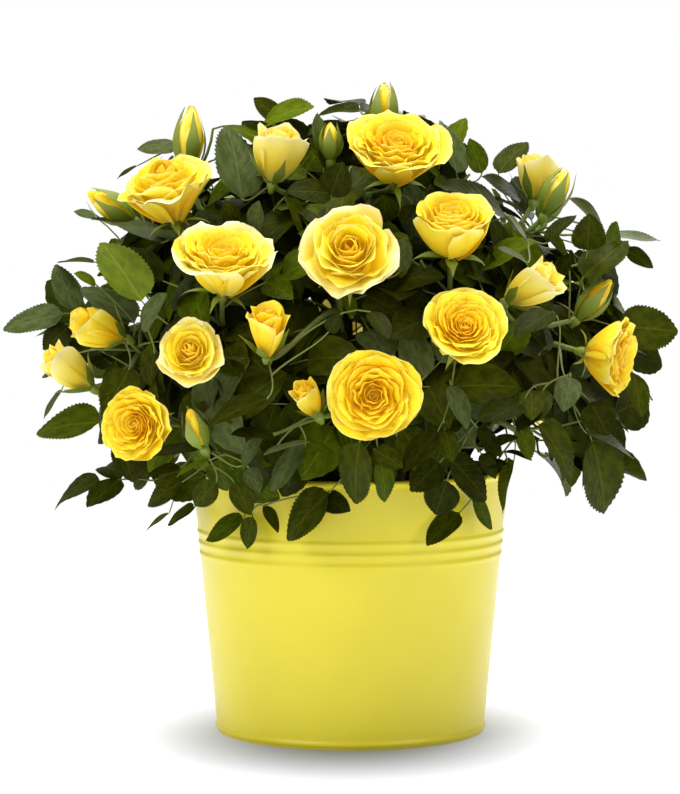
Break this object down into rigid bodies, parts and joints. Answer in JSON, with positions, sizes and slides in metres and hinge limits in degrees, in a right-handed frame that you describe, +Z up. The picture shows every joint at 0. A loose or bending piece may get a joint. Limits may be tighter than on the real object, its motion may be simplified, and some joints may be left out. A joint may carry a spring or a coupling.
{
  "type": "potted rose",
  "caption": "Bushy potted rose with yellow blooms and buds, on short canes in a round ribbed metal pot filled with soil.",
  "frame": {"origin": "the middle of the pot's flat underside, on the surface that it stands on", "axes": "+Z up along the pot's axis; the side of the plant that is seen in front faces -Y, with +X to its right"},
  "size_m": [0.3673, 0.3122, 0.3552],
  "materials": {
    "pot_paint": "satin yellow paint on sheet metal",
    "soil": "moist crumbly potting soil",
    "bark": "smooth green-brown rose bark with prickles",
    "foliage": "satin dark green leaves on green twigs",
    "petals": "soft yellow petals"
  },
  "bodies": {
    "root": {"pot": "pot_paint", "soil": "soil", "cane_front": "bark", "cane_left": "bark", "cane_right": "bark", "cane_centre": "bark", "cane_back_left": "bark", "cane_back_right": "bark", "bough_front_low": "bark", "bough_front_mid": "bark", "bough_left_front": "bark", "bough_left_low": "bark", "bough_left": "bark", "bough_left_top": "bark", "bough_top": "bark", "bough_right_front": "bark", "bough_right_low": "bark", "bough_right": "bark", "bough_right_top": "bark", "bough_back_right": "bark", "bough_back_low": "bark", "bough_back_left": "bark", "bough_back_mid": "bark", "bough_back_left_top": "bark", "bough_back_right_top": "bark", "foliage_front_low": "foliage", "foliage_front_mid": "foliage", "foliage_left_front": "foliage", "foliage_left_low": "foliage", "foliage_left": "foliage", "foliage_left_top": "foliage", "foliage_top": "foliage", "foliage_right_front": "foliage", "foliage_right_low": "foliage", "foliage_right": "foliage", "foliage_right_top": "foliage", "foliage_back_right": "foliage", "foliage_back_low": "foliage", "foliage_back_left": "foliage", "foliage_back_mid": "foliage", "foliage_back_left_top": "foliage", "foliage_back_right_top": "foliage"}
  },
  "joints": []
}
